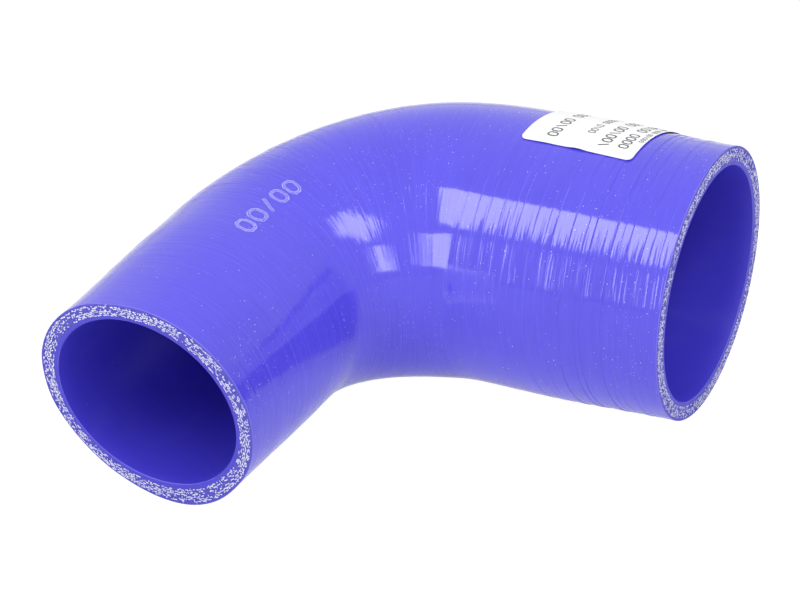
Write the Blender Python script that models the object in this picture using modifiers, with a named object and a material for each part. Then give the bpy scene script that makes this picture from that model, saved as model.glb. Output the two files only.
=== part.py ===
# Reducing 90 degree hose elbow, lying on its side as it comes to rest.
# Metres, +Z up. The floor is at Z = 0 and the origin is under the middle of the elbow's box.
#
# The elbow is drawn about its corner, where the axes of its two legs cross: the large leg runs
# out along +X and, at a 90 degree bend, the small leg along -Y. It is then laid on the floor.

from math import atan2, cos, pi, radians, sin, tan

import bmesh
import bpy
import numpy as np
from mathutils import Matrix, Vector

# Bores, wall and bend
SMALL_BORE = 0.051
LARGE_BORE = 0.063
WALL = 0.005
BEND_ANGLE = 90.0  # degrees
BEND_RADIUS = 0.052  # at the centre line
SMALL_REACH = 0.101  # corner to small end
LARGE_REACH = 0.109  # corner to large end

# Change of bore, measured along the centre line from the small end
TAPER_START = 0.041
TAPER_LENGTH = 0.075

# The wrapped wall builds up away from the ends, where it was pressed flat before trimming
SWELL = 0.0012
SWELL_RUN = 0.040

# The lap, where the last ply ends over itself under the small end
LAP_RISE = 0.0018
LAP_ANGLE = -78.0  # degrees round the leg, from the inside of the bend towards the top
LAP_HALF_WIDTH = 42.0  # degrees
LAP_RUN = 0.045

# Knife cuts at the ends, a little off square: swung towards the bend, and leaned up
SMALL_CUT_SWING = 3.1  # degrees
SMALL_CUT_LEAN = -4.1
LARGE_CUT_SWING = 1.2
LARGE_CUT_LEAN = -3.0
TRIM_STOCK = 0.008  # length moulded past each end and cut away

# Paper label on top of the large leg
LABEL_LENGTH = 0.0315  # along the leg
LABEL_GIRTH = 0.050  # round the leg
LABEL_FROM_END = 0.0173  # its near edge to the large end
LABEL_NEAR_EDGE = 80.0  # degrees round the leg, from the inside of the bend towards the top
LABEL_SKEW = 1.5  # degrees
LABEL_CORNER = 0.0016  # corner radius
LABEL_THICKNESS = 0.00015
LABEL_GAP = 0.0003  # kept clear of the hose

# Facets
SIDES = 48
RING_STEP = 0.0047
LABEL_CELL = 0.003
SHARP_EDGE = 40.0  # degrees, over which an edge is shaded as an edge
CAP_WELD = 0.00001  # joins a swept bar's caps to its sides

# Worked out from the sizes above
BEND = radians(BEND_ANGLE)
BEND_TANGENT = BEND_RADIUS * tan(BEND / 2)
SMALL_STRAIGHT = SMALL_REACH - BEND_TANGENT
LARGE_STRAIGHT = LARGE_REACH - BEND_TANGENT
ARC_LENGTH = BEND_RADIUS * BEND
HOSE_LENGTH = SMALL_STRAIGHT + ARC_LENGTH + LARGE_STRAIGHT
SMALL_TRAVEL = Vector((cos(BEND), sin(BEND), 0))  # from the small end towards the bend
LARGE_TRAVEL = Vector((1, 0, 0))
UP = Vector((0, 0, 1))


def smooth_step(value):
    value = min(max(value, 0.0), 1.0)
    return value * value * (3 - 2 * value)


def centre_line(length):
    """The point at this length from the small end, on two straight legs and the arc between them."""
    if length < SMALL_STRAIGHT:
        return SMALL_TRAVEL * (length - SMALL_REACH)
    if length < SMALL_STRAIGHT + ARC_LENGTH:
        heading = BEND - (length - SMALL_STRAIGHT) / BEND_RADIUS
        middle = Vector((BEND_TANGENT, -BEND_RADIUS, 0))
        return middle + BEND_RADIUS * Vector((-sin(heading), cos(heading), 0))
    return LARGE_TRAVEL * (length - HOSE_LENGTH + LARGE_REACH)


def bore_radius(length):
    change = smooth_step((length - TAPER_START) / TAPER_LENGTH)
    return (SMALL_BORE + (LARGE_BORE - SMALL_BORE) * change) / 2


def outer_radius(length):
    from_end = min(length, HOSE_LENGTH - length)
    return bore_radius(length) + WALL + SWELL * smooth_step(from_end / SWELL_RUN)


def lap_height(length, angle):
    """Extra thickness of the lap at this length and angle, fading out along the small leg."""
    away = abs(angle - radians(LAP_ANGLE)) / radians(LAP_HALF_WIDTH)
    if away > 1:
        return 0.0
    return LAP_RISE * cos(away * pi / 2) ** 2 * (1 - smooth_step(length / LAP_RUN))


def new_collection(name):
    collection = bpy.data.collections.new(name)
    bpy.context.scene.collection.children.link(collection)
    return collection


def new_material(name, colour, roughness):
    material = bpy.data.materials.new(name)
    material.use_nodes = True
    shader = material.node_tree.nodes["Principled BSDF"]
    shader.inputs["Base Color"].default_value = (*colour, 1)
    shader.inputs["Roughness"].default_value = roughness
    shader.inputs["Metallic"].default_value = 0
    material.diffuse_color = (*colour, 1)
    return material


def swept_round(name, collection, radius_at, overrun):
    """A round bar along the centre line, its radius given at each length, as a closed mesh."""
    start, end = -overrun, HOSE_LENGTH + overrun
    lengths = np.linspace(start, end, round((end - start) / RING_STEP) + 1)
    curve = bpy.data.curves.new(name, "CURVE")
    curve.dimensions = "3D"
    curve.twist_mode = "Z_UP"
    curve.bevel_depth = 1.0
    curve.bevel_resolution = (SIDES - 4) // 2
    curve.use_fill_caps = True
    spline = curve.splines.new("POLY")
    spline.points.add(len(lengths) - 1)
    for point, length in zip(spline.points, lengths):
        point.co = (*centre_line(length), 1)
        point.radius = radius_at(length)
    bar = bpy.data.objects.new(name, curve)
    collection.objects.link(bar)
    bpy.context.view_layer.update()
    evaluated = bar.evaluated_get(bpy.context.evaluated_depsgraph_get())
    mesh = bpy.data.meshes.new_from_object(evaluated)
    place = bar.matrix_world.copy()
    bpy.data.objects.remove(bar)
    bpy.data.curves.remove(curve)
    welded = bmesh.new()
    welded.from_mesh(mesh)
    bmesh.ops.remove_doubles(welded, verts=welded.verts, dist=CAP_WELD)
    bmesh.ops.recalc_face_normals(welded, faces=welded.faces)
    welded.to_mesh(mesh)
    welded.free()
    solid = bpy.data.objects.new(name, mesh)
    solid.matrix_world = place
    collection.objects.link(solid)
    return solid


def raise_lap(blank):
    """Pushes the underside of the small leg out by the height of the lap."""
    inside = SMALL_TRAVEL.cross(UP)
    for vertex in blank.data.vertices:
        along = vertex.co.dot(SMALL_TRAVEL) + SMALL_REACH
        if along > SMALL_STRAIGHT:
            continue
        out = vertex.co - centre_line(along)
        if out.length < SMALL_BORE / 2:
            continue
        angle = atan2(out.dot(UP), out.dot(inside))
        vertex.co += out.normalized() * lap_height(max(along, 0), angle)


def make_cutter(cutter):
    cutter.hide_render = True
    cutter.display_type = "WIRE"


def end_trim(name, collection, end, outward, swing, lean):
    """A block whose near face is the knife cut at a hose end."""
    side = UP.cross(outward)
    normal = (outward + tan(radians(swing)) * side + tan(radians(lean)) * UP).normalized()
    across = UP.cross(normal).normalized()
    size = 2 * (LARGE_BORE + SMALL_BORE)
    mesh = bpy.data.meshes.new(name)
    block = bmesh.new()
    bmesh.ops.create_cube(block, size=size)
    block.to_mesh(mesh)
    block.free()
    trim = bpy.data.objects.new(name, mesh)
    turn = Matrix((across, normal.cross(across), normal)).transposed().to_4x4()
    trim.matrix_world = Matrix.Translation(end + normal * size / 2) @ turn
    collection.objects.link(trim)
    make_cutter(trim)
    return trim


def cut(target, cutter):
    boolean = target.modifiers.new(cutter.name, "BOOLEAN")
    boolean.operation = "DIFFERENCE"
    boolean.solver = "EXACT"
    boolean.object = cutter


def make_hose(parts, cutters, material):
    hose = swept_round("hose_body", parts, outer_radius, TRIM_STOCK)
    raise_lap(hose)
    hose.data.materials.append(material)
    hose.data.shade_smooth()
    hose.data.set_sharp_from_angle(angle=radians(SHARP_EDGE))
    bore = swept_round("bore", cutters, bore_radius, 2 * TRIM_STOCK)
    bore.data.shade_smooth()
    make_cutter(bore)
    cut(hose, bore)
    ends = (
        ("small_end_trim", centre_line(0), -SMALL_TRAVEL, SMALL_CUT_SWING, SMALL_CUT_LEAN),
        ("large_end_trim", centre_line(HOSE_LENGTH), LARGE_TRAVEL, LARGE_CUT_SWING, LARGE_CUT_LEAN),
    )
    for name, end, outward, swing, lean in ends:
        cut(hose, end_trim(name, cutters, end, outward, swing, lean))
    return hose


def round_corners(sheet):
    """Trims each corner of the flat label with three cuts that touch its corner radius."""
    for x in (-1, 1):
        for y in (-1, 1):
            inset = LABEL_LENGTH / 2 - LABEL_CORNER, LABEL_GIRTH / 2 - LABEL_CORNER
            middle = Vector((x * inset[0], y * inset[1], 0))
            for turn in (pi / 8, pi / 4, 3 * pi / 8):
                outward = Vector((x * cos(turn), y * sin(turn), 0))
                bmesh.ops.bisect_plane(
                    sheet,
                    geom=sheet.verts[:] + sheet.edges[:] + sheet.faces[:],
                    plane_co=middle + outward * LABEL_CORNER,
                    plane_no=outward,
                    clear_outer=True,
                )


def make_label(parts, material):
    """A flat rounded sheet, wrapped on to the large leg just clear of it and then thickened outwards."""
    sheet = bmesh.new()
    bmesh.ops.create_grid(
        sheet,
        x_segments=max(round(LABEL_LENGTH / LABEL_CELL), 2),
        y_segments=max(round(LABEL_GIRTH / LABEL_CELL), 2),
        size=0.5,
    )
    bmesh.ops.scale(sheet, vec=(LABEL_LENGTH, LABEL_GIRTH, 1), verts=sheet.verts)
    round_corners(sheet)
    skew = Matrix.Rotation(radians(-LABEL_SKEW), 3, "Z")
    middle = HOSE_LENGTH - LABEL_FROM_END - LABEL_LENGTH / 2
    girth_radius = outer_radius(middle)
    for vertex in sheet.verts:
        flat = skew @ vertex.co
        length = middle + flat.x
        angle = radians(LABEL_NEAR_EDGE) + (flat.y + LABEL_GIRTH / 2) / girth_radius
        radius = outer_radius(length) + LABEL_GAP
        vertex.co = centre_line(length) + radius * Vector((0, -cos(angle), sin(angle)))
    bmesh.ops.recalc_face_normals(sheet, faces=sheet.faces)
    top = max(sheet.faces, key=lambda face: face.calc_center_median().z)
    if top.normal.z < 0:
        bmesh.ops.reverse_faces(sheet, faces=sheet.faces)
    mesh = bpy.data.meshes.new("paper_label")
    sheet.to_mesh(mesh)
    sheet.free()
    label = bpy.data.objects.new("paper_label", mesh)
    parts.objects.link(label)
    thicken = label.modifiers.new("paper", "SOLIDIFY")
    thicken.thickness = LABEL_THICKNESS
    thicken.offset = 1.0
    label.data.materials.append(material)
    return label


def evaluated_points(thing):
    """The corners of the finished mesh in world space, one row each."""
    evaluated = thing.evaluated_get(bpy.context.evaluated_depsgraph_get())
    mesh = evaluated.to_mesh()
    points = np.array([evaluated.matrix_world @ vertex.co for vertex in mesh.vertices])
    evaluated.to_mesh_clear()
    return points


def lowest_at(points, tilt):
    return (points[:, 1] * sin(tilt) + points[:, 2] * cos(tilt)).min()


def lying_tilt(points):
    """The turn about X at which the small end and the large leg touch the floor together."""
    on_small_leg = points @ np.array(SMALL_TRAVEL) < -BEND_TANGENT
    on_large_leg = points[:, 0] > 0
    small, large = points[on_small_leg], points[on_large_leg]
    low, high = -pi / 4, pi / 4
    for _ in range(40):
        tilt = (low + high) / 2
        if lowest_at(small, tilt) > lowest_at(large, tilt):
            low = tilt
        else:
            high = tilt
    return (low + high) / 2


def lay_down(parts, hose, pieces):
    """Hangs the pieces on one empty, tilts it to rest and centres the hose over the origin."""
    rest = bpy.data.objects.new("resting_place", None)
    rest.empty_display_size = LARGE_BORE
    parts.objects.link(rest)
    for piece in pieces:
        piece.parent = rest
    bpy.context.view_layer.update()
    rest.rotation_euler.x = lying_tilt(evaluated_points(hose))
    bpy.context.view_layer.update()
    shown = [piece for piece in pieces if not piece.hide_render]
    points = np.concatenate([evaluated_points(piece) for piece in shown])
    low, high = points.min(axis=0), points.max(axis=0)
    rest.location = (-(low[0] + high[0]) / 2, -(low[1] + high[1]) / 2, -low[2])
    bpy.context.view_layer.update()


def main():
    for thing in list(bpy.data.objects):
        bpy.data.objects.remove(thing)
    bpy.context.scene.unit_settings.system = "METRIC"
    parts = new_collection("reducing_hose_elbow")
    cutters = new_collection("cutters")
    silicone = new_material("blue_silicone", (0.14, 0.12, 0.82), 0.25)
    paper = new_material("white_paper", (0.93, 0.93, 0.94), 0.55)
    hose = make_hose(parts, cutters, silicone)
    label = make_label(parts, paper)
    lay_down(parts, hose, [hose, label, *cutters.objects])


main()
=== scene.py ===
import math

import bpy
import numpy as np
from mathutils import Matrix, Vector


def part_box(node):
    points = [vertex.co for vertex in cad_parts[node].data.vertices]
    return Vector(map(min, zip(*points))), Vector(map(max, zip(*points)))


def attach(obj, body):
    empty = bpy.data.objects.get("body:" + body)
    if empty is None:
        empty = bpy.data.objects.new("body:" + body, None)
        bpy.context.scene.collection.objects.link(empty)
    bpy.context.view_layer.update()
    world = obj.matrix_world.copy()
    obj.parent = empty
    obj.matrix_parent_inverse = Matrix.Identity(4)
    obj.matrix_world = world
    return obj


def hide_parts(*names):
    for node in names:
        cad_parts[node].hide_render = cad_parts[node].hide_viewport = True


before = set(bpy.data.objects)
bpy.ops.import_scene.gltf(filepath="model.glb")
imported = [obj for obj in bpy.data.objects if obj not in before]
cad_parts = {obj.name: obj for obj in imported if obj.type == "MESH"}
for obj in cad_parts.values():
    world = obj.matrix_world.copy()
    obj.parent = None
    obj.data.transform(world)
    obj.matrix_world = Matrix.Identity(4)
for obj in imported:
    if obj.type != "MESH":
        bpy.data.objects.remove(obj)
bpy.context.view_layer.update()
mm = 0.001


# The hose's form, about the corner where the axes of its legs cross:
# the large leg runs out along +X and the small leg along -Y. Lengths run from the small end.
elbow = {
    "smallBore": 51 * mm,
    "largeBore": 63 * mm,
    "wall": 5 * mm,
    "bendRadius": 52 * mm,
    "smallReach": 101 * mm,
    "largeReach": 109 * mm,
    "taperStart": 41 * mm,
    "taperLength": 75 * mm,
    "swell": 1.2 * mm,
    "swellRun": 40 * mm,
    "smallCut": (3.1, -4.1),  # degrees off square: swung to the bend, leaned up
    "largeCut": (1.2, -3.0),
    "restTilt": 3.4065,  # degrees about X, as it lies
    "edgeRound": 0.22 * mm,
    "bendEase": 6 * mm,  # length over which the skin feels the bend begin and end
}
smallStraight = elbow["smallReach"] - elbow["bendRadius"]
arcLength = elbow["bendRadius"] * math.pi / 2
hoseLength = smallStraight + arcLength + elbow["largeReach"] - elbow["bendRadius"]

# Where the small mouth is thicker or thinner than its wall, round from the inside of the bend: the lap of
# the last ply underneath, a thin side next to it, and the slight hollows and swells either side
smallMouth = {
    "run": 45 * mm,
    "places": (  # degrees round, half width in degrees, rise
        (-78, 42, 1.8 * mm),
        (-148, 44, -1.1 * mm),
        (-12, 26, -0.35 * mm),
        (45, 44, 0.25 * mm),
        (96, 22, -0.5 * mm),
        (176, 18, -0.35 * mm),
    ),
}


def smoothStep(value):
    value = np.clip(value, 0, 1)
    return value * value * (3 - 2 * value)


def centreAndInside(along):
    # the centre line's point, and the way from it to the inside of the bend
    turned = np.clip((along - smallStraight) / elbow["bendRadius"], 0, math.pi / 2)
    before = np.minimum(along - smallStraight, 0)
    after = np.maximum(along - smallStraight - arcLength, 0)
    x = elbow["bendRadius"] * (1 - np.cos(turned)) + after
    y = elbow["bendRadius"] * (np.sin(turned) - 1) + before
    flat = np.zeros_like(x)
    return np.stack((x, y, flat), -1), np.stack((np.cos(turned), -np.sin(turned), flat), -1)


def boreRadius(along):
    change = smoothStep((along - elbow["taperStart"]) / elbow["taperLength"])
    return (elbow["smallBore"] + (elbow["largeBore"] - elbow["smallBore"]) * change) / 2


def plainRadius(along):
    fromEnd = np.minimum(along, hoseLength - along)
    return boreRadius(along) + elbow["wall"] + elbow["swell"] * smoothStep(fromEnd / elbow["swellRun"])


def outerRadius(along, angle):
    radius = plainRadius(along)
    fade = 1 - smoothStep(along / smallMouth["run"])
    for place, halfWidth, rise in smallMouth["places"]:
        away = np.abs((angle - math.radians(place) + math.pi) % (2 * math.pi) - math.pi)
        away = np.minimum(away / math.radians(halfWidth), 1)
        radius = radius + rise * np.cos(away * math.pi / 2) ** 2 * fade
    return radius


def smallRim(angle):
    return outerRadius(np.zeros_like(angle), angle)


def largeRim(angle):
    return plainRadius(np.full_like(angle, hoseLength))


def squeezeAt(along, angle):
    # how much shorter the skin is than the centre line here: under 1 inside the bend, over 1 outside it
    ease = elbow["bendEase"]
    into = smoothStep((along - smallStraight + ease / 2) / ease)
    out = smoothStep((along - smallStraight - arcLength + ease / 2) / ease)
    return 1 - into * (1 - out) * plainRadius(along) * np.cos(angle) / elbow["bendRadius"]


def pointAt(along, angle, radius):
    centre, inside = centreAndInside(along)
    up = np.array((0, 0, 1.0))
    return centre + radius[..., None] * (np.cos(angle)[..., None] * inside + np.sin(angle)[..., None] * up)


def smallCutAt(angle, radius):
    # how far along the hose the knife cut lies, at this angle and radius
    swing, lean = (math.tan(math.radians(turn)) for turn in elbow["smallCut"])
    return radius * (np.cos(angle) * swing + np.sin(angle) * lean)


def largeCutAt(angle, radius):
    swing, lean = (math.tan(math.radians(turn)) for turn in elbow["largeCut"])
    return hoseLength - radius * (np.sin(angle) * lean - np.cos(angle) * swing)


def findRestPlace():
    # tilts the plain form as it lies, and sets its box on the CAD hose's own box
    angle, share = np.meshgrid(np.linspace(-math.pi, math.pi, 181), np.linspace(0, 1, 200))
    start = smallCutAt(angle, smallRim(angle))
    end = largeCutAt(angle, largeRim(angle))
    along = start + (end - start) * share
    tilt = Matrix.Rotation(math.radians(elbow["restTilt"]), 4, "X")
    points = pointAt(along, angle, outerRadius(along, angle)).reshape(-1, 3) @ np.array(tilt.to_3x3()).T
    low, high = Vector(points.min(0)), Vector(points.max(0))
    cadLow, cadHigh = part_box("hose_body")
    shift = (cadLow + cadHigh - low - high) / 2
    shift.z = cadLow.z - low.z
    return Matrix.Translation(shift) @ tilt


restPlace = findRestPlace()


def newPiece(name, points, faces):
    mesh = bpy.data.meshes.new(name)
    mesh.from_pydata(points.tolist(), [], faces if isinstance(faces, list) else faces.tolist())
    mesh.transform(restPlace)
    mesh.shade_smooth()
    piece = bpy.data.objects.new(name, mesh)
    bpy.context.scene.collection.objects.link(piece)
    return piece


def addAttribute(piece, name, kind, values):
    made = piece.data.attributes.new(name, kind, "POINT")
    field = "vector" if kind == "FLOAT_VECTOR" else "value"
    made.data.foreach_set(field, values.astype(np.float32).ravel())


# Shader maths

class Wire:  # a value on its way through a finish, so that shader sums read as sums
    def __init__(self, finish, socket):
        self.finish = finish
        self.socket = socket

    def math(self, operation, *values):
        return self.finish.node("ShaderNodeMath", {"operation": operation}, dict(enumerate(values)))

    def __add__(self, other):
        return self.math("ADD", self, other)

    def __radd__(self, other):
        return self.math("ADD", other, self)

    def __sub__(self, other):
        return self.math("SUBTRACT", self, other)

    def __rsub__(self, other):
        return self.math("SUBTRACT", other, self)

    def __mul__(self, other):
        return self.math("MULTIPLY", self, other)

    def __rmul__(self, other):
        return self.math("MULTIPLY", other, self)

    def __truediv__(self, other):
        return self.math("DIVIDE", self, other)

    def __rtruediv__(self, other):
        return self.math("DIVIDE", other, self)

    def __lt__(self, other):
        return self.math("LESS_THAN", self, other)

    def __gt__(self, other):
        return self.math("GREATER_THAN", self, other)


class Finish:  # the nodes of a material, and of a lamp or the world where other kinds are named
    def __init__(self, owner, output="ShaderNodeOutputMaterial", surface="ShaderNodeBsdfPrincipled"):
        owner.use_nodes = True
        self.owner = owner
        self.tree = owner.node_tree
        self.tree.nodes.clear()
        self.output = self.tree.nodes.new(output)
        self.shader = self.tree.nodes.new(surface)
        self.tree.links.new(self.shader.outputs[0], self.output.inputs["Surface"])

    def fill(self, node, sockets):
        for key, value in sockets.items():
            if isinstance(value, Wire):
                self.tree.links.new(value.socket, node.inputs[key])
            else:
                node.inputs[key].default_value = value

    def node(self, kind, settings, sockets, output=0):
        made = self.tree.nodes.new(kind)
        for key, value in settings.items():
            setattr(made, key, value)
        self.fill(made, sockets)
        return Wire(self, made.outputs[output])

    def surface(self, sockets):
        self.fill(self.shader, sockets)

    def attribute(self, name, output="Fac"):
        return self.node("ShaderNodeAttribute", {"attribute_name": name}, {}, output)

    def stretch(self, vector, scale):
        return self.node("ShaderNodeMapping", {}, {"Vector": vector, "Scale": scale})

    def noise(self, vector, scale, detail=2.0, roughness=0.5):
        sockets = {"Vector": vector, "Scale": scale, "Detail": detail, "Roughness": roughness}
        return self.node("ShaderNodeTexNoise", {}, sockets)

    def cells(self, vector, scale, output=0):
        return self.node("ShaderNodeTexVoronoi", {}, {"Vector": vector, "Scale": scale}, output)

    def ramp(self, value, low, high):  # 0 under low, 1 over high, eased between them
        sockets = {"Value": value, "From Min": low, "From Max": high}
        return self.node("ShaderNodeMapRange", {"interpolation_type": "SMOOTHSTEP"}, sockets)

    def mix(self, share, first, second):
        sockets = {0: share, 6: first, 7: second}
        return self.node("ShaderNodeMix", {"data_type": "RGBA"}, sockets, 2)

    def bump(self, height, distance):
        return self.node("ShaderNodeBump", {}, {"Height": height, "Distance": distance, "Strength": 1.0})

    def specks(self, vector, perMm, share, size):
        # small round spots: a cell in so many holds one, and size is its radius in mm
        near = self.cells(vector, perMm) / perMm
        pick = self.node("ShaderNodeSeparateColor", {}, {0: self.cells(vector, perMm, "Color")})
        return (near < size) * (pick < share)


def newFinish(name):
    return Finish(bpy.data.materials.new(name))


def colour(red, green, blue):
    return (red, green, blue, 1)


# Outer skin

skinFinish = {
    "blue": colour(0.088, 0.069, 0.730),
    "paleBlue": colour(0.127, 0.107, 0.790),
    "deepBlue": colour(0.065, 0.051, 0.620),
    # seams are painted paler: partly dust in the grooves, partly painted sheen on their edges
    "seamDustAndSheen": colour(0.190, 0.170, 0.860),
    "dust": colour(0.60, 0.60, 0.94),
    "grit": colour(0.030, 0.026, 0.260),
    # spots: cells to a mm, share of them with a spot, what dust adds to that, and radius in mm
    "dustSpots": ((0.62, 0.12, 0.6, 0.13), (1.3, 0.08, 0.36, 0.085)),
    "gritSpots": (0.45, 0.03, 0.2, 0.12),
    "roughness": 0.075,
    "streakRoughness": 0.05,
    "grooveRoughness": 0.55,
    "ior": 1.58,
    "scratchDepth": 0.045 * mm,
    # strength of the fine scratches along the hose, at these places in mm
    "scratches": ((40, 1.2), (55, 2.8), (100, 2.8), (107, 0.5), (130, 0.5), (150, 1.1)),
}


def makeSkinFinish():
    skin = newFinish("blueSiliconeSkin")
    wrap = skin.attribute("wrap", "Vector")
    seam = skin.attribute("seam")
    streaks = skin.noise(skin.stretch(wrap, (2.2, 0.10, 0.10)), 1.0, 3.0, 0.6)
    broad = skin.noise(skin.stretch(wrap, (0.55, 0.03, 0.03)), 1.0, 2.0)
    clouds = skin.noise(wrap, 0.05, 3.0)
    base = skin.mix(skin.ramp(streaks, 0.45, 0.75) * 0.35, skinFinish["blue"], skinFinish["paleBlue"])
    base = skin.mix(skin.ramp(clouds + broad * 0.4, 0.62, 0.95) * 0.3, base, skinFinish["deepBlue"])
    # the seams are painted paler, partly as dust and partly as painted sheen
    base = skin.mix(seam * seam * 0.7, base, skinFinish["seamDustAndSheen"])
    gathered = skin.ramp(skin.noise(wrap, 0.045, 1.0), 0.42, 0.68)  # dust lies thicker in some places
    for perMm, few, more, size in skinFinish["dustSpots"]:
        base = skin.mix(skin.specks(wrap, perMm, few + more * gathered, size), base, skinFinish["dust"])
    perMm, few, more, size = skinFinish["gritSpots"]
    other = skin.stretch(wrap, (0.97, 1.03, 1.01))  # so that grit and dust don't share their cells
    base = skin.mix(skin.specks(other, perMm, few + more * gathered, size), base, skinFinish["grit"])
    rough = skinFinish["roughness"] + skin.ramp(streaks, 0.5, 0.85) * skinFinish["streakRoughness"]
    rough = rough + skin.ramp(seam, 0.0, 0.2) * skinFinish["grooveRoughness"]
    fine = skin.noise(skin.stretch(wrap, (1.1, 0.06, 0.06)), 1.0, 1.0, 0.7)
    fine = fine * skin.attribute("scratch")
    skin.surface({
        "Base Color": base,
        "Roughness": rough,
        "IOR": skinFinish["ior"],
        "Normal": skin.bump(fine, skinFinish["scratchDepth"]),
    })
    return skin.owner


boreFinish = {
    # darker than the skin's blue: painted shade inside the bore
    "blue": colour(0.061, 0.047, 0.60),
    "smudge": colour(0.090, 0.076, 0.56),
    "dust": colour(0.22, 0.21, 0.60),
    "dustSpots": (0.22, 0.22, 0.14),  # cells to a mm, share of them with a spot, and radius in mm
    "roughness": 0.34,
    "smudgeRoughness": 0.12,
    "grain": 0.01 * mm,
}


def makeBoreFinish():
    bore = newFinish("blueSiliconeBore")
    wrap = bore.attribute("wrap", "Vector")
    clouds = bore.noise(bore.stretch(wrap, (0.10, 0.22, 0.22)), 1.0, 4.0)
    # the bore's blue carries painted shade, with lighter smudges over it
    base = bore.mix(bore.ramp(clouds, 0.52, 0.78) * 0.22, boreFinish["blue"], boreFinish["smudge"])
    base = bore.mix(bore.specks(wrap, *boreFinish["dustSpots"]), base, boreFinish["dust"])
    rough = bore.ramp(clouds, 0.4, 0.8) * boreFinish["smudgeRoughness"]
    bore.surface({
        "Base Color": base,
        "Roughness": boreFinish["roughness"] + rough,
        "Normal": bore.bump(bore.noise(wrap, 0.8, 2.0), boreFinish["grain"]),
    })
    return bore.owner


cutFinish = {
    "liner": colour(0.074, 0.063, 0.620),
    "fabricBlue": colour(0.100, 0.092, 0.560),
    # painted shade, as between the yarns of the fabric
    "fabricShade": colour(0.040, 0.036, 0.210),
    "rim": colour(0.100, 0.088, 0.600),
    # painted highlight along the rounded edges of the cut
    "edge": colour(0.22, 0.20, 0.82),
    # where the fabric starts and ends, as shares of the wall from the bore out
    "fabricFrom": (0.20, 0.25),
    "fabricTo": (0.88, 0.93),
    "roughness": 0.5,
    "fabricRoughness": 0.2,
    "gloss": 0.3,
    "roughCut": 0.22 * mm,
}


def makeCutFinish():
    cut = newFinish("knifeCutWall")
    wrap = cut.attribute("wrap", "Vector")
    ply = cut.attribute("ply")
    knife = cut.noise(cut.stretch(wrap, (0.3, 1.4, 1.4)), 1.0, 3.0)
    uneven = ply + (knife - 0.5) * 0.10
    # painted shade: the fabric is darkened in patches, as between its yarns
    shadeBetweenYarns = cut.ramp(cut.noise(wrap, 1.6, 3.0, 0.6), 0.57, 0.67)
    fabric = cut.mix(shadeBetweenYarns, cutFinish["fabricBlue"], cutFinish["fabricShade"])
    pastLiner = cut.ramp(uneven, *cutFinish["fabricFrom"])
    pastFabric = cut.ramp(uneven, *cutFinish["fabricTo"])
    base = cut.mix(pastLiner, cutFinish["liner"], fabric)
    base = cut.mix(pastFabric, base, cutFinish["rim"])
    # painted highlight: both rounded edges of the cut face are painted paler
    base = cut.mix(cut.ramp(ply, 0.975, 1.0), base, cutFinish["edge"])
    base = cut.mix(1 - cut.ramp(ply, 0.0, 0.03), base, cutFinish["edge"])
    inFabric = pastLiner * (1 - pastFabric)
    height = knife * 0.25 + cut.noise(wrap, 1.1, 3.0, 0.6) * inFabric * -1.0
    cut.surface({
        "Base Color": base,
        "Roughness": cutFinish["roughness"] + inFabric * cutFinish["fabricRoughness"],
        "Specular IOR Level": cutFinish["gloss"],
        "Normal": cut.bump(height, cutFinish["roughCut"]),
    })
    return cut.owner


# The wrapped strips of the skin. Heights and slopes are shares of a strip's own width, unless they are in mm
wrapping = {
    "seed": 7,
    "meanWidth": 2.15 * mm,  # of the strips up to the large leg
    "spread": 0.55,
    "narrowest": 0.9 * mm,
    "widest": 6.5 * mm,
    "wander": 0.55,  # how far a strip's width changes round the hose
    # widths of the strips on the large leg in mm, from the bend to the mouth
    "legWidths": (4.3, 3.6, 3.3, 3.5, 3.5, 1.9, 4.4, 3.4, 2.1, 4.5,
                  3.9, 1.7, 5.5, 1.7, 2.0, 4.0, 1.9, 2.4, 2.6),
    "legWander": 0.08,
    # rise of a strip's middle, and how much that varies
    "crown": (0.0024, 0.85),
    "tilt": 0.005,
    # a smoother stretch at the end of the bend, and how much is left of its relief
    "calm": (104 * mm, 131 * mm, 0.25),
    # the leg's strips lie like shingles: their slope by the bend, and what it gains to the mouth
    "legLean": (0.0064, 0.0699),
    "leanStart": (1 * mm, 6 * mm),  # how far before the bend's end it sets in, and over what length
    # degrees round where they lean most, how sharply that is felt, and the share on the far side
    "leanSide": (36, 4, 0.04),
    # below that side the lean dies down, between these degrees round and to this share
    "leanFoot": (8, 27, 0.35),
    # the leg's strips are hollow across: how much, how that varies, and the share on the far side
    "legCup": (0.0034, 0.45, 0.3),
    "level": 0.010 * mm,
    "seamDepth": 0.011 * mm,
    "seamPower": 1.5,  # over 1 makes most seams faint
    "farSeams": 0.12,  # strength of the leg's seams on the far side
    "rows": (0.0, 0.02, 0.04, 0.20, 0.5, 0.80, 0.96, 0.98),  # across a strip, as shares of its width
    "seamReach": 0.03,  # rows this close to a strip's edge take half of its seam
    "columns": 120,
}


def swing(random, angle, count, strength, turns=1):
    # one slow wave round the hose for each strip
    phase = random.uniform(0, 2 * math.pi, (count, 1))
    size = random.uniform(0, strength, (count, 1))
    return size * np.cos(turns * angle - phase)


def stripWidths(random):
    # the strips' mean widths, and how many of them come before the large leg
    legWidths = np.array(wrapping["legWidths"]) * mm
    room = hoseLength - legWidths.sum()
    widths = []
    while sum(widths) < room:
        width = wrapping["meanWidth"] * math.exp(random.normal(-0.1, wrapping["spread"]))
        widths.append(min(max(width, wrapping["narrowest"]), wrapping["widest"]))
    return np.concatenate((np.array(widths) * room / sum(widths), legWidths)), len(widths)


def leanAround(angle):
    # how much of the leg's lean is felt at this angle round the hose
    side, power, least = wrapping["leanSide"]
    around = least + (1 - least) * np.maximum(np.cos(angle - math.radians(side)), 0) ** power
    low, high, least = wrapping["leanFoot"]
    rising = smoothStep((angle - math.radians(low)) / (math.radians(high) - math.radians(low)))
    return around * (least + (1 - least) * rising)


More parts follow.
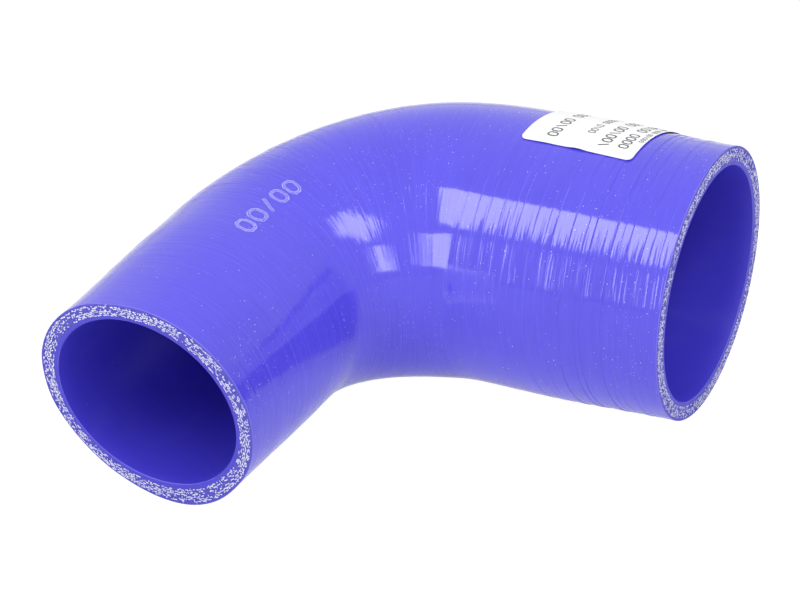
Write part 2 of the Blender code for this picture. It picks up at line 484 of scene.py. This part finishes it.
def wrapStrips():
    # the strips' edges as shares of the hose's length, at each column, and the relief of each of their rows
    random = np.random.default_rng(wrapping["seed"])
    angle = np.linspace(-math.pi, math.pi, wrapping["columns"], endpoint=False)[None, :]
    widths, legFirst = stripWidths(random)
    count = len(widths)
    onLeg = (np.arange(count) >= legFirst)[:, None]
    wander = np.where(onLeg, wrapping["legWander"], wrapping["wander"])
    width = widths[:, None] * (1 + wander * swing(random, angle, count, 1.0))
    width = width * (1 + wander * swing(random, angle, count, 0.4, 2))
    # the strips before the leg keep their length in all, and so do those on it
    for part in (slice(0, legFirst), slice(legFirst, count)):
        width[part] *= widths[part].sum() / width[part].sum(0)
    edge = np.concatenate((np.zeros_like(angle), np.cumsum(width, 0)))
    middle = (edge[:-1] + edge[1:]) / 2

    rise, variety = wrapping["crown"]
    crown = rise * random.lognormal(0, variety, (count, 1)) * (1 + swing(random, angle, count, 0.5))
    crown = np.where(onLeg, 0, crown)
    depth, variety, farCup = wrapping["legCup"]
    cup = depth * random.lognormal(0, variety, (count, 1)) * (1 + swing(random, angle, count, 0.5))
    tilt = random.normal(0, wrapping["tilt"], (count, 1))
    for turns in (1, 5, 11):
        tilt = tilt + swing(random, angle, count, wrapping["tilt"], turns)
    calmFrom, calmTo, calmShare = wrapping["calm"]
    calm = np.where((middle > calmFrom) & (middle < calmTo), calmShare, 1)
    tilt, crown = tilt * calm, crown * calm

    down = np.clip((middle - middle[legFirst]) / (hoseLength - middle[legFirst]), 0, 1)
    before, over = wrapping["leanStart"]
    bendEnd = smoothStep((middle - smallStraight - arcLength + before) / over)
    around = leanAround(angle)
    lean, gain = wrapping["legLean"]
    tilt = tilt + bendEnd * around * (lean + gain * down)
    cup = np.where(onLeg, cup * (farCup + (1 - farCup) * around), 0)
    level = random.normal(0, wrapping["level"], (count, 1))
    level = (level + swing(random, angle, count, wrapping["level"])) * calm
    seam = random.uniform(0.1, 1, (count, 1)) ** wrapping["seamPower"]
    seam = seam * (0.6 + 0.4 * swing(random, angle, count, 1.0))
    farSeams = wrapping["farSeams"]
    seam = seam * calm * np.where(onLeg, farSeams + (1 - farSeams) * around, 1)

    def relief(strip, row):
        share = abs(2 * row - 1)
        bow = crown[strip] * (1 - share ** 3) - cup[strip] * (1 - share ** 2) + tilt[strip] * (row - 0.5)
        place = edge[strip] + width[strip] * row
        # a strip on the leg keeps the radius of its middle, so the leg narrows by small steps
        step = (plainRadius(middle[strip]) - plainRadius(place)) * bendEnd[strip]
        return (level[strip] + bow * width[strip]) * squeezeAt(middle[strip], angle[0]) + step

    shares, reliefs, seams = [], [], []
    for strip in range(count):
        for row in wrapping["rows"]:
            shares.append((edge[strip] + width[strip] * row) / hoseLength)
            if row > 0:
                nearest = strip if row < 0.5 else min(strip + 1, count - 1)
                beside = min(row, 1 - row) < wrapping["seamReach"]
                reliefs.append(relief(strip, row))
                seams.append(seam[nearest] * beside / 2)
                continue
            both = relief(strip, 0.0) + relief(max(strip - 1, 0), 1.0)
            reliefs.append(both / 2 - wrapping["seamDepth"] * seam[strip])
            seams.append(seam[strip])
    shares.append(np.ones_like(angle[0]))
    reliefs.append(relief(count - 1, 1.0))
    seams.append(np.zeros_like(angle[0]))
    return angle[0], np.array(shares), np.array(reliefs), np.array(seams)


hoseMesh = {
    "cutRows": 14,
    "boreRows": 34,
    "slantPower": 12,  # how soon the strips next to a mouth lose its slant
    "reliefStart": 0.01,  # the relief dies out over this share of the length at the small mouth
}
skinPart, cutPart, borePart = 0, 1, 2  # places of their materials on the mesh


def cutFace(angle, cutAt, outer, bore, inward):
    # the rows of a cut face from its outer edge to the bore, with both edges rounded
    rounding = elbow["edgeRound"]
    roundShare = rounding / elbow["wall"]
    corner = 1 - math.sqrt(0.5)
    shares = np.linspace(1 - roundShare, roundShare, hoseMesh["cutRows"])
    places = [(1 - roundShare * corner, rounding * corner)]
    places += [(share, 0) for share in shares]
    places += [(roundShare * corner, rounding * corner)]
    rows = []
    for share, depth in places:
        radius = bore + (outer - bore) * share
        rows.append((cutAt(angle, radius) + inward * depth, radius, np.zeros_like(angle), share, cutPart))
    return rows


def makeHoseSkin():
    angle, shares, reliefs, seams = wrapStrips()
    rounding = elbow["edgeRound"]
    startRadius = smallRim(angle)
    endRadius = largeRim(angle) + reliefs[-1]
    start = smallCutAt(angle, startRadius) + rounding
    end = largeCutAt(angle, endRadius) - rounding
    # the strips run square to the hose, and only those next to a mouth follow its slant
    slant = hoseMesh["slantPower"]
    along = hoseLength * shares + start * (1 - shares) ** slant + (end - hoseLength) * shares ** slant
    ease = smoothStep(shares / hoseMesh["reliefStart"])
    # a row round the hose: place, radius, seam, share of the wall and the part it lies on
    rows = []
    for k in range(len(along)):
        radius = outerRadius(along[k], angle) + reliefs[k] * ease[k]
        rows.append((along[k], radius, seams[k], 1.0, skinPart))
    smallBore = boreRadius(np.zeros_like(angle))
    largeBore = boreRadius(np.full_like(angle, hoseLength))
    rows += cutFace(angle, largeCutAt, endRadius, largeBore, -1)
    boreStart = smallCutAt(angle, smallBore) + rounding
    boreEnd = largeCutAt(angle, largeBore) - rounding
    for share in np.linspace(1, 0, hoseMesh["boreRows"]):
        place = boreStart + (boreEnd - boreStart) * share
        rows.append((place, boreRadius(place), np.zeros_like(angle), 0.0, borePart))
    rows += cutFace(angle, smallCutAt, startRadius, smallBore, 1)[::-1]

    place, radius, seam = (np.array([row[k] for row in rows]) for k in (0, 1, 2))
    turn = np.broadcast_to(angle, place.shape)
    points = pointAt(place, turn, radius)
    rowCount, columns = place.shape
    index = np.arange(rowCount * columns).reshape(rowCount, columns)
    below, right = np.roll(index, -1, 0), np.roll(index, -1, 1)
    faces = np.stack((index, below, np.roll(below, -1, 1), right), -1).reshape(-1, 4)
    skin = newPiece("hoseSkin", points.reshape(-1, 3), faces)
    wrap = np.stack((place, radius * np.cos(turn), radius * np.sin(turn)), -1) / mm
    addAttribute(skin, "wrap", "FLOAT_VECTOR", wrap)
    addAttribute(skin, "seam", "FLOAT", seam)
    scratch = np.interp(place / mm, *zip(*skinFinish["scratches"])) * squeezeAt(place, turn)
    addAttribute(skin, "scratch", "FLOAT", scratch)
    addAttribute(skin, "ply", "FLOAT", np.repeat([row[3] for row in rows], columns))
    for material in (makeSkinFinish(), makeCutFinish(), makeBoreFinish()):
        skin.data.materials.append(material)
    parts = np.array([row[4] for row in rows])
    # a band between two rows takes the finish of the cut face, if either row lies on one
    bands = np.where((parts == cutPart) | (np.roll(parts, -1) == cutPart), cutPart, parts)
    skin.data.polygons.foreach_set("material_index", np.repeat(bands, columns).astype(np.int32))
    skin.data.update()
    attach(skin, "root")
    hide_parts("hose_body")


# Fabric yarns that show in the cut wall

yarnWork = {
    "plies": (0.28, 0.39, 0.50, 0.61, 0.72, 0.82),  # share of the wall, from the bore out
    "pitch": 1.2 * mm,
    "unevenPitch": 0.22,
    # how a ply waves: waves to a turn, and their height as a share of the wall
    "waves": ((14, 0.010), (31, 0.008)),
    "crowd": (0.85, 0.35, 4),  # some stretches show more yarn: the mean, the swing, and waves to a turn
    "halfWidth": (0.13 * mm, 0.21 * mm),
    "strand": (0.5 * mm, 1.25 * mm),
    "strandShare": 0.80,
    "bend": 0.15 * mm,
    # short ties between the strands: where they lie after a strand, as shares of the pitch, how far off
    # the ply, as a share of the wall, and their lean in radians
    "tie": (0.3 * mm, 0.7 * mm),
    "tieShare": 0.5,
    "tiePlace": (0.35, 0.65),
    "tieDrift": 0.05,
    "tieLean": (0.5, 1.5),
    "tieWidth": 0.9,  # of a strand's
    "flat": 0.40,
    "lift": 0.02 * mm,
    "stain": (0.6, 1.4),  # most of a yarn's stain before it is squared, and what the square is scaled by
    "sides": 6,
    "stations": (-1.0, -0.86, -0.4, 0.0, 0.4, 0.86, 1.0),
    "white": colour(0.86, 0.87, 0.96),
    "stained": colour(0.36, 0.36, 0.82),
    "roughness": 0.62,
    "fibres": 0.05 * mm,
}

# A few loose ends stand up a little at the edges of the cut
looseEnds = {
    "count": 9,
    "shares": (0.22, 0.90),  # of the wall, from the bore out
    "length": (0.7 * mm, 1.4 * mm),
    "lean": (0.8, 1.5),
    "halfWidth": 0.07 * mm,
    "bend": 0.2 * mm,
    "tint": 0.1,
    "raised": 0.2 * mm,
}

# The yarns of each cut end: slant is how far a strand may lean off its ply, in radians, and closer,
# below 1, draws them finer and nearer to each other
yarnEnds = {
    "smallEndYarn": {
        "cutAt": smallCutAt,
        "outward": (0, -1.0, 0),
        "rim": smallRim,
        "bore": elbow["smallBore"] / 2,
        "slant": 0.30,
        "closer": 1.0,
        "seed": 23,
    },
    "largeEndYarn": {
        "cutAt": largeCutAt,
        "outward": (1.0, 0, 0),
        "rim": largeRim,
        "bore": elbow["largeBore"] / 2,
        "slant": 1.2,
        "closer": 0.82,
        "seed": 24,
    },
}


def makeYarnFinish():
    yarn = newFinish("polyesterYarn")
    tint = yarn.attribute("tint")
    wrap = yarn.attribute("wrap", "Vector")
    fibres = yarn.noise(wrap, 9.0, 2.0)
    yarn.surface({
        "Base Color": yarn.mix(tint, yarnWork["white"], yarnWork["stained"]),
        "Roughness": yarnWork["roughness"],
        "Normal": yarn.bump(fibres, yarnWork["fibres"]),
    })
    return yarn.owner


class Tubes:  # gathers many small tubes into one mesh
    def __init__(self, sides):
        self.sides = sides
        self.points, self.faces, self.tints = [], [], []

    def add(self, path, radii, flatten, normal, tint):
        base = len(self.points) * self.sides
        count = len(path)
        along = path[-1] - path[0]
        along = along / np.linalg.norm(along)
        across = np.cross(normal, along)
        turn = np.arange(self.sides) * 2 * math.pi / self.sides
        for point, radius in zip(path, radii):
            ring = np.cos(turn)[:, None] * across + np.sin(turn)[:, None] * normal * flatten
            self.points.append(point + radius * ring)
            self.tints.append(np.full(self.sides, tint))
        for k in range(count - 1):
            for j in range(self.sides):
                n = (j + 1) % self.sides
                a, b = base + k * self.sides, base + (k + 1) * self.sides
                self.faces.append([a + j, a + n, b + n, b + j])
        last = base + (count - 1) * self.sides
        self.faces.append([base + j for j in range(self.sides)][::-1])
        self.faces.append([last + j for j in range(self.sides)])

    def piece(self, name, material):
        points = np.concatenate(self.points)
        made = newPiece(name, points, self.faces)
        addAttribute(made, "wrap", "FLOAT_VECTOR", points / mm)
        addAttribute(made, "tint", "FLOAT", np.concatenate(self.tints))
        made.data.materials.append(material)
        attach(made, "root")


def makeYarns(name, material, cutAt, outward, rim, bore, slant, closer, seed):
    # the cut plies as rings of strands, with short ties between them
    random = np.random.default_rng(seed)
    tubes = Tubes(yarnWork["sides"])
    outward = np.array(outward)
    stations = np.array(yarnWork["stations"])
    taper = np.sqrt(np.clip(1.12 - stations ** 2, 0.02, 1))
    wall = elbow["wall"]

    def strand(angle, share, length, lean, halfWidth, bend, tint, raised=0.0):
        radius = bore + wall * share
        angles = angle + stations * length / 2 * math.cos(lean) / radius
        shares = share + (stations * length / 2 * math.sin(lean) + bend * (1 - stations ** 2)) / wall
        lift = yarnWork["lift"] * random.uniform(0.5, 2) + raised * (1 - stations ** 2)
        radii = bore + (rim(angles) - bore) * shares
        path = pointAt(cutAt(angles, radii), angles, radii) + outward * lift[:, None]
        tubes.add(path, halfWidth * taper, yarnWork["flat"], outward, tint)

    def stain():
        most, scale = yarnWork["stain"]
        return random.uniform(0, most) ** 2 * scale

    for share in yarnWork["plies"]:
        radius = bore + wall * share
        pitch = yarnWork["pitch"] * closer
        count = int(2 * math.pi * radius / pitch)
        phase = random.uniform(0, 2 * math.pi, 3)
        for k in range(count):
            aside = random.uniform(-yarnWork["unevenPitch"], yarnWork["unevenPitch"])
            angle = -math.pi + (k + aside) * 2 * math.pi / count
            inWave = share
            for (turns, height), start in zip(yarnWork["waves"], phase):
                inWave = inWave + height * math.sin(turns * angle + start)
            mean, change, turns = yarnWork["crowd"]
            crowd = mean + change * math.sin(turns * angle + phase[2])
            side = 1 if k % 2 else -1
            halfWidth = random.uniform(*yarnWork["halfWidth"]) * closer
            if random.uniform() < yarnWork["strandShare"] * crowd:
                length = random.uniform(*yarnWork["strand"]) * closer
                lean = side * random.uniform(0.0, slant)
                bend = side * random.uniform(0, yarnWork["bend"])
                strand(angle, inWave, length, lean, halfWidth, bend, stain())
            if random.uniform() < yarnWork["tieShare"]:
                angle = angle + random.uniform(*yarnWork["tiePlace"]) * pitch / radius
                length = random.uniform(*yarnWork["tie"]) * closer
                inWave = inWave + random.uniform(-yarnWork["tieDrift"], yarnWork["tieDrift"])
                lean = side * random.uniform(*yarnWork["tieLean"])
                strand(angle, inWave, length, lean, halfWidth * yarnWork["tieWidth"], 0, stain())
    for _ in range(looseEnds["count"]):
        angle = random.uniform(-math.pi, math.pi)
        share = random.choice(looseEnds["shares"])
        length = random.uniform(*looseEnds["length"])
        lean = random.uniform(*looseEnds["lean"]) * random.choice((-1, 1))
        shape = (looseEnds[key] for key in ("halfWidth", "bend", "tint", "raised"))
        strand(angle, share, length, lean, *shape)
    tubes.piece(name, material)


# Paper label

label = {
    "length": 31.5 * mm,
    "girth": 50 * mm,
    "fromEnd": 17.3 * mm,
    "nearEdge": 80,  # degrees round from the inside of the bend
    "skew": 1.5,
    "corner": 1.6 * mm,
    "thickness": 0.10 * mm,
    "gap": 0.22 * mm,
    "cells": (84, 120),
    # puckers at the near edge: place and reach along the hose, reach round it, and height
    "puckers": ((0.7 * mm, 2.1 * mm, 3.2 * mm, 0.34 * mm), (-9 * mm, 3.5 * mm, 2.2 * mm, 0.12 * mm)),
    # the creases' height, and the scale of their waves along the hose, round it and round it again
    "crease": (0.05 * mm, 3.1 * mm, 9 * mm, 6.3 * mm),
    # the ends lift by this height, over this reach, in waves of this scale
    "endLift": (0.10 * mm, 1.4 * mm, 4.7 * mm),
    "paper": colour(0.93, 0.93, 0.935),
    "pulp": colour(0.78, 0.78, 0.80),
    "ink": colour(0.060, 0.058, 0.070),
    "wornInk": colour(0.22, 0.22, 0.24),
}
labelMiddle = hoseLength - label["fromEnd"] - label["length"] / 2
labelRadius = float(plainRadius(np.array(labelMiddle)))


def labelWrinkle(x, y):
    # small lifts of the paper, x along the hose and y round it from the middle of the label
    near = y + label["girth"] / 2
    lift = 0
    for place, reach, reachRound, height in label["puckers"]:
        lift = lift + height * np.exp(-((x - place) / reach) ** 2) * np.exp(-np.abs(near) / reachRound)
    height, along, round1, round2 = label["crease"]
    lift = lift + height * np.sin(x / along + y / round1) * np.sin(y / round2 + 1.0)
    height, reach, wave = label["endLift"]
    edge = label["length"] / 2 - np.abs(x)
    lift = lift + height * np.exp(-edge / reach) * (0.5 + 0.5 * np.sin(y / wave))
    return np.maximum(lift, 0)


def onLabel(x, y, lift):
    turn = math.radians(-label["skew"])
    along = labelMiddle + x * math.cos(turn) - y * math.sin(turn)
    girth = x * math.sin(turn) + y * math.cos(turn) + label["girth"] / 2
    angle = math.radians(label["nearEdge"]) + girth / labelRadius
    return pointAt(along, angle, plainRadius(along) + label["gap"] + labelWrinkle(x, y) + lift)


def gridFaces(rows, columns, base=0):
    index = base + np.arange(rows * columns).reshape(rows, columns)
    return np.stack((index[:-1, :-1], index[:-1, 1:], index[1:, 1:], index[1:, :-1]), -1).reshape(-1, 4)


def makeLabel():
    cellsAlong, cellsRound = label["cells"]
    half = np.array((label["length"], label["girth"])) / 2
    # rows close up towards the two ends, where the corners are round
    y = half[1] * np.sin(np.linspace(-math.pi / 2, math.pi / 2, cellsRound + 1))
    into = np.clip(np.abs(y) - (half[1] - label["corner"]), 0, label["corner"])
    reach = half[0] - label["corner"] + np.sqrt(label["corner"] ** 2 - into ** 2)
    x = np.linspace(-1, 1, cellsAlong + 1)[None, :] * reach[:, None]
    y = np.repeat(y[:, None], cellsAlong + 1, 1)
    points = onLabel(x, y, 0)
    sheet = newPiece("paperLabel", points.reshape(-1, 3), gridFaces(cellsRound + 1, cellsAlong + 1))
    addAttribute(sheet, "sheet", "FLOAT_VECTOR", np.stack((x, y, 0 * x), -1) / mm)
    thicken = sheet.modifiers.new("paper", "SOLIDIFY")
    thicken.thickness = label["thickness"]
    thicken.offset = 1.0
    paper = newFinish("coatedPaper")
    place = paper.attribute("sheet", "Vector")
    fibre = paper.noise(place, 3.0, 4.0)
    paper.surface({
        "Base Color": paper.mix(paper.ramp(fibre, 0.35, 0.75) * 0.06, label["paper"], label["pulp"]),
        "Roughness": 0.45 + fibre * 0.1,
        "Normal": paper.bump(fibre, 0.01 * mm),
    })
    sheet.data.materials.append(paper.owner)
    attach(sheet, "root")
    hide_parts("paper_label")


printing = {
    # middle of the line along the label, height of its figures, space before its first one, and the figures
    "lines": (
        (7.5 * mm, 2.6 * mm, 3.4 * mm, "00/00 000 0000/0"),
        (16.4 * mm, 1.8 * mm, 8.2 * mm, "00/0 0000 00 000/000"),
        (22.0 * mm, 2.5 * mm, 3.2 * mm, "/00/00 0000 /00"),
        (27.1 * mm, 2.4 * mm, 4.4 * mm, "0000 00/000 00 0"),
        (30.2 * mm, 1.2 * mm, 8.8 * mm, "000/00 0000 000 0/00 0"),
    ),
    "width": 0.62,  # of a figure, as a share of its height
    "gap": 0.30,
    "stroke": 0.20,
    "cutCorner": 0.24,  # of a nought, as a share of its width and height
    "lift": 0.118 * mm,
}


def strokePath(character):
    # corners of a nought or a slanted stroke, in shares of its width and height
    if character == "/":
        return [(0.1, 0.0), (0.9, 1.0)]
    low = printing["cutCorner"]
    high = 1 - low
    corners = [(low, 0), (high, 0), (1, low), (1, high), (high, 1), (low, 1), (0, high), (0, low)]
    return corners + corners[:1]


def ribbon(path, halfWidth):
    # left and right edge of a stroke that follows this path
    steps = np.diff(path, axis=0)
    steps = steps / np.linalg.norm(steps, axis=1)[:, None]
    closed = (path[0] == path[-1]).all()
    behind = np.concatenate((steps[-1:] if closed else steps[:1], steps))
    ahead = np.concatenate((steps, steps[:1] if closed else steps[-1:]))
    way = behind + ahead
    way = way / np.linalg.norm(way, axis=1)[:, None]
    aside = np.stack((-way[:, 1], way[:, 0]), -1) * halfWidth
    return path - aside, path + aside


def makePrint():
    # lines of noughts and strokes in place of words
    points, faces = [], []
    total = 0
    for middle, height, margin, figures in printing["lines"]:
        wide = height * printing["width"]
        foot = middle - label["length"] / 2 - height / 2
        y = -label["girth"] / 2 + margin
        for figure in figures:
            if figure != " ":
                path = np.array(strokePath(figure)) * (wide, height)
                path = np.stack((foot + path[:, 1], y + path[:, 0]), -1)
                left, right = ribbon(path, height * printing["stroke"] / 2)
                both = np.stack((left, right), 1)
                faces.append(gridFaces(len(path), 2, total))
                points.append(onLabel(both[..., 0], both[..., 1], printing["lift"]).reshape(-1, 3))
                total += len(path) * 2
            y += wide + height * printing["gap"]
    marks = newPiece("labelPrint", np.concatenate(points), np.concatenate(faces))
    ink = newFinish("labelInk")
    place = ink.node("ShaderNodeTexCoord", {}, {}, "Object")
    worn = ink.noise(place, 1600, 2.0)
    ink.surface({
        "Base Color": ink.mix(ink.ramp(worn, 0.45, 0.8) * 0.5, label["ink"], label["wornInk"]),
        "Roughness": 0.5,
    })
    marks.data.materials.append(ink.owner)
    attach(marks, "root")


# Dotted date stamp, with noughts for every figure

stamp = {
    "text": "00/00",
    "along": 52.0 * mm,
    "angle": 74.9,  # degrees round from the inside of the bend
    "height": 4.7 * mm,
    "width": 3.5 * mm,
    "advance": 5.45 * mm,
    "halfStroke": 0.33 * mm,
    "dotPitch": 0.36 * mm,
    "dotRadius": 0.155 * mm,
    "dotSizes": (0.8, 1.15),
    "dotSides": 8,
    "jitter": 0.03 * mm,
    "seed": 3,
    "lift": 0.045 * mm,
    "colour": colour(0.74, 0.73, 0.95),
    "worn": colour(0.52, 0.50, 0.92),
    "roughness": 0.4,
}


def makeStamp():
    random = np.random.default_rng(stamp["seed"])
    points, faces = [], []
    sides = stamp["dotSides"]
    turn = np.arange(sides) * 2 * math.pi / sides
    first = -(len(stamp["text"]) - 1) / 2
    for k, character in enumerate(stamp["text"]):
        corner = ((first + k) * stamp["advance"] - stamp["width"] / 2, -stamp["height"] / 2)
        path = np.array(strokePath(character)) * (stamp["width"], stamp["height"])
        for edge in ribbon(path, stamp["halfStroke"]):  # each stroke is two rows of dots
            lengths = np.linalg.norm(np.diff(edge, axis=0), axis=1)
            distance = np.concatenate(((0,), np.cumsum(lengths)))
            dots = np.linspace(0, distance[-1], round(distance[-1] / stamp["dotPitch"]) + 1)
            if character != "/":
                dots = dots[:-1]
            for dot in dots:
                x, y = (corner[axis] + np.interp(dot, distance, edge[:, axis]) for axis in (0, 1))
                x += random.normal(0, stamp["jitter"])
                y += random.normal(0, stamp["jitter"])
                radius = stamp["dotRadius"] * random.uniform(*stamp["dotSizes"])
                along = stamp["along"] + x + radius * np.cos(turn)
                angle = math.radians(stamp["angle"]) + (y + radius * np.sin(turn)) / plainRadius(along)
                faces.append([len(points) * sides + j for j in range(sides)])
                points.append(pointAt(along, angle, plainRadius(along) + stamp["lift"]))
    marks = newPiece("dateDots", np.concatenate(points), faces)
    ink = newFinish("stampInk")
    place = ink.node("ShaderNodeTexCoord", {}, {}, "Object")
    ink.surface({
        "Base Color": ink.mix(ink.noise(place, 900, 2.0), stamp["colour"], stamp["worn"]),
        "Roughness": stamp["roughness"],
    })
    marks.data.materials.append(ink.owner)
    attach(marks, "root")


# Studio

studio = {
    "floorSize": 8.0,
    "floorDrop": 0.05 * mm,
    "floorWhite": colour(0.90, 0.90, 0.91),
    "floorLift": 0.90,
    "floorInGloss": 0.5,  # share of that lift in reflections, where the floor keeps more of its shadow
    "floorGlow": 1.12,
    "fill": 0.14,
    "distance": 1.5,
    "aim": (30 * mm, -26 * mm, 0.0),
    "lampEdge": 0.005,
    "lampGap": 2 * mm,
}

# Softboxes, seen from the hose: azimuth, elevation and roll in degrees, size and shift in metres.
# The two faint cards stand close to the leg they are named for, and show only in the gloss of the other leg.
softboxes = {
    "upperLeft": {
        "turn": (-27, 49, 27),
        "size": (0.583, 0.78),
        "shift": (-0.0435, -0.010),
        "lean": (0.0, 0.146),
        "fade": 0.08,
    },
    "lowerLeft": {"turn": (-13, 16, 8), "size": (0.684, 0.72), "shift": (0.067, 0.014), "dull": 0.4},
    "upperRight": {"turn": (62, 50, 31), "size": (0.95, 0.56), "shift": (-0.015, 0.035)},
    "lowerRight": {
        "turn": (40, 16, 7),
        "size": (0.682, 0.62),
        "shift": (-0.139, 0.013),
        "lean": (0.5, 0.0),
        "dull": 0.4,
    },
    "overhead": {"turn": (160, 72, 0), "size": (2.4, 2.4), "radiance": 1.0, "gloss": False},
    "smallLegCard": {
        "turn": (-90, 0, 0),
        "middle": (33 * mm, -84 * mm, 3 * mm),
        "size": (0.030, 0.036),
        "radiance": 0.95,
        "dull": 0.0,
    },
    "largeLegCard": {
        "turn": (180, 0, 0),
        "middle": (74 * mm, -39.5 * mm, 15 * mm),
        "size": (0.068, 0.014),
        "radiance": 0.45,
        "dull": 0.0,
    },
}
# What a softbox has unless it says otherwise
plainSoftbox = {
    "radiance": 5.4,
    "shift": (0, 0),
    "middle": None,  # where it stands in the hose's own frame, in place of its distance and shift
    "lean": (0, 0),  # how far its left side leans in at the top and at the foot, as shares of its width
    "fade": 0.05,  # share of its height that fades out at the foot
    "gloss": True,  # whether reflections show it
    "dull": 1.0,  # share of its light that reaches dull surfaces too
}


def viewAxes(azimuth, elevation, roll):
    # right, up and back of something that looks at the hose from this side, in degrees
    azimuth, elevation, roll = (math.radians(turn) for turn in (azimuth, elevation, roll))
    level = math.cos(elevation)
    back = Vector((math.sin(azimuth) * level, -math.cos(azimuth) * level, math.sin(elevation)))
    right = Vector((math.cos(azimuth), math.sin(azimuth), 0))
    up = back.cross(right)
    return right * math.cos(roll) + up * math.sin(roll), up * math.cos(roll) - right * math.sin(roll), back


def facing(side, top, back):
    return Matrix((side, top, back)).transposed().to_4x4()


def makeSoftbox(name, turn, size, radiance, shift, middle, lean, fade, gloss, dull):
    side, top, back = viewAxes(*turn)
    place = restPlace @ Vector(middle or studio["aim"])
    if middle is None:
        place = place + back * studio["distance"] + side * shift[0] + top * shift[1]
    # one lamp for light that reaches dull surfaces too, and one just behind it for the gloss alone
    for part, reachesDull in ((dull, True), (1 - dull, False)):
        if part == 0:
            continue
        place = place + back * studio["lampGap"]
        lamp = bpy.data.lights.new(name, "AREA")
        lamp.shape = "RECTANGLE"
        lamp.size, lamp.size_y = size
        lamp.energy = radiance * part * math.pi * size[0] * size[1]
        glow = Finish(lamp, "ShaderNodeOutputLight", "ShaderNodeEmission")
        spot = glow.node("ShaderNodeNewGeometry", {}, {}, "Parametric")
        across, fromFoot = (glow.node("ShaderNodeSeparateXYZ", {}, {0: spot}, axis) for axis in (0, 1))
        inside = across - (lean[1] + (lean[0] - lean[1]) * fromFoot)
        edge = glow.ramp(inside, -studio["lampEdge"], studio["lampEdge"])
        glow.surface({"Strength": edge * glow.ramp(fromFoot, 0.0, fade)})
        holder = bpy.data.objects.new(name, lamp)
        holder.matrix_world = Matrix.Translation(place) @ facing(side, top, back)
        holder.visible_camera = False
        holder.visible_glossy = gloss
        holder.visible_diffuse = reachesDull
        bpy.context.scene.collection.objects.link(holder)


def seenDirectly(finish, inGloss=1.0):
    # 1 for rays that show the surroundings as they are: from the camera, in a gloss or through glass
    rays = finish.node("ShaderNodeLightPath", {}, {}, "Is Camera Ray")
    glossy = finish.node("ShaderNodeLightPath", {}, {}, "Is Glossy Ray")
    clear = finish.node("ShaderNodeLightPath", {}, {}, "Is Transmission Ray")
    return rays.math("MAXIMUM", rays.math("MAXIMUM", rays, glossy * inGloss), clear)


def makeWorld(scene):
    world = bpy.data.worlds.new("whiteStudio")
    scene.world = world
    sky = Finish(world, "ShaderNodeOutputWorld", "ShaderNodeBackground")
    seen = seenDirectly(sky)
    sky.surface({"Color": colour(1, 1, 1), "Strength": seen + (1 - seen) * studio["fill"]})


def makeFloor(scene):
    reach = studio["floorSize"] / 2
    corners = [(-reach, -reach, 0), (reach, -reach, 0), (reach, reach, 0), (-reach, reach, 0)]
    mesh = bpy.data.meshes.new("floor")
    mesh.from_pydata(corners, [], [(0, 1, 2, 3)])
    floor = bpy.data.objects.new("floor", mesh)
    floor.location.z = -studio["floorDrop"]
    scene.collection.objects.link(floor)
    paint = newFinish("studioFloor")
    paint.surface({"Base Color": studio["floorWhite"], "Roughness": 0.9, "Specular IOR Level": 0.0})
    glow = paint.node("ShaderNodeEmission", {}, {"Strength": studio["floorGlow"]})
    share = seenDirectly(paint, studio["floorInGloss"]) * studio["floorLift"]
    diffuse = Wire(paint, paint.shader.outputs[0])
    mixed = paint.node("ShaderNodeMixShader", {}, {0: share, 1: diffuse, 2: glow})
    paint.tree.links.new(mixed.socket, paint.output.inputs["Surface"])
    mesh.materials.append(paint.owner)


def makeStudio():
    scene = bpy.context.scene
    scene.view_settings.view_transform = "Standard"
    makeWorld(scene)
    for name, numbers in softboxes.items():
        makeSoftbox(name, **(plainSoftbox | numbers))
    makeFloor(scene)


# The photograph's viewpoint, about the hose's corner
viewpoint = {
    "aim": (16.8 * mm, -5.2 * mm, -22.0 * mm),
    "distance": 615.2 * mm,
    "azimuth": 32.598,
    "elevation": 31.488,
    "roll": -6.361,
    "lens": 98.08,
    "sensor": 36,
}


def makeCamera():
    side, top, back = viewAxes(*(viewpoint[key] for key in ("azimuth", "elevation", "roll")))
    camera = bpy.data.cameras.new("photoCamera")
    camera.lens = viewpoint["lens"]
    camera.sensor_width = viewpoint["sensor"]
    camera.clip_start = 0.01
    holder = bpy.data.objects.new("photoCamera", camera)
    place = Vector(viewpoint["aim"]) + back * viewpoint["distance"]
    holder.matrix_world = restPlace @ Matrix.Translation(place) @ facing(side, top, back)
    bpy.context.scene.collection.objects.link(holder)
    bpy.context.scene.camera = holder


print("hose skin")
makeHoseSkin()

print("yarns in the cut ends")
yarnMaterial = makeYarnFinish()
for yarnName, yarnNumbers in yarnEnds.items():
    makeYarns(yarnName, yarnMaterial, **yarnNumbers)

print("paper label")
makeLabel()
makePrint()

print("date stamp")
makeStamp()

print("studio and camera")
makeStudio()
makeCamera()
